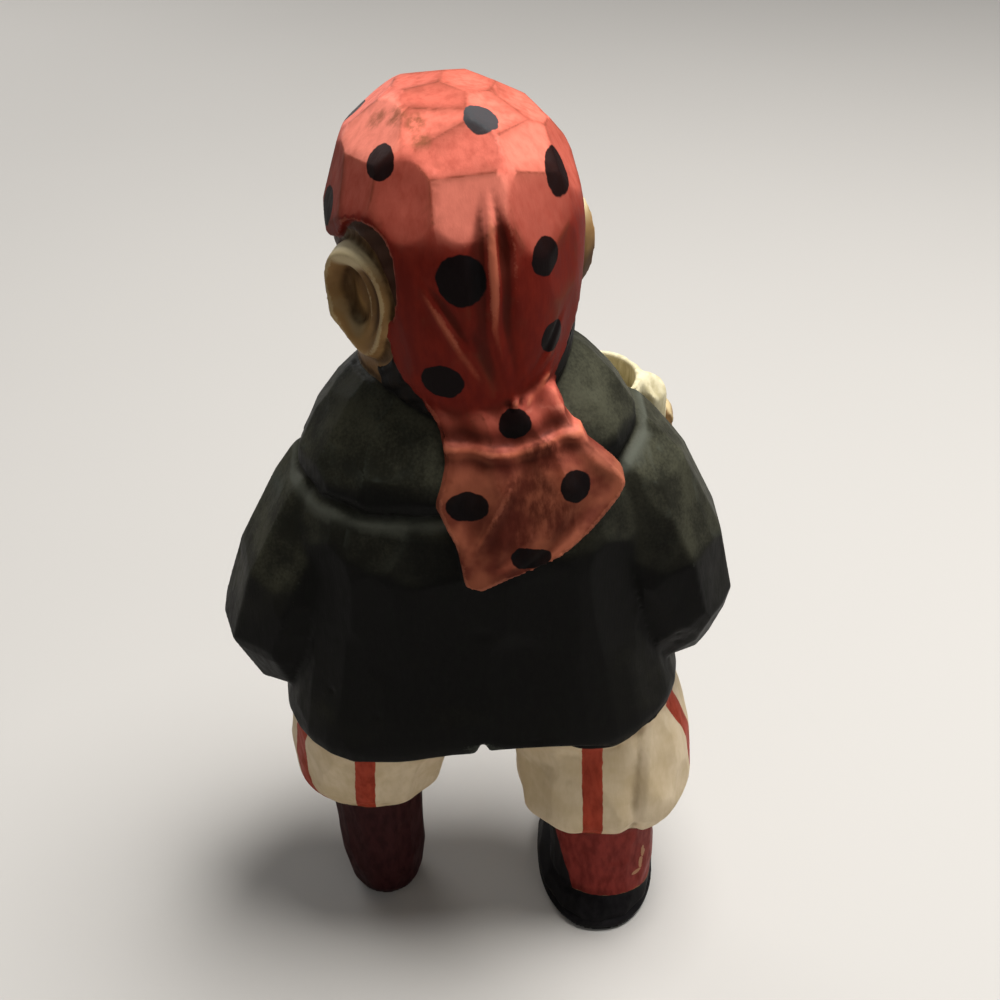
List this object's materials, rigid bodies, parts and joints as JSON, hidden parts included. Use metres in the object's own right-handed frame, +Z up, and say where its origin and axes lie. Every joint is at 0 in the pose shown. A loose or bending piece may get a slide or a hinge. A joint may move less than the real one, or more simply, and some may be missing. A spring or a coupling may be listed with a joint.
{
  "type": "carved wooden pirate figurine",
  "caption": "Hand-carved painted wooden pirate with a spotted red kerchief, dark coat, striped breeches and a peg leg, holding a mug; stands on its own feet.",
  "frame": {"origin": "centre of the figure's box at the floor, between the peg and the shoe", "axes": "+Z up, -Y the way the figure's chest faces, +X its own left, the peg leg's side"},
  "size_m": [0.0828, 0.0504, 0.1505],
  "materials": {
    "painted_wood": "knife-cut wood, thin matt paint with a dark antique wash and worn edges"
  },
  "bodies": {
    "root": {"pirate_figurine": "painted_wood"}
  },
  "joints": []
}
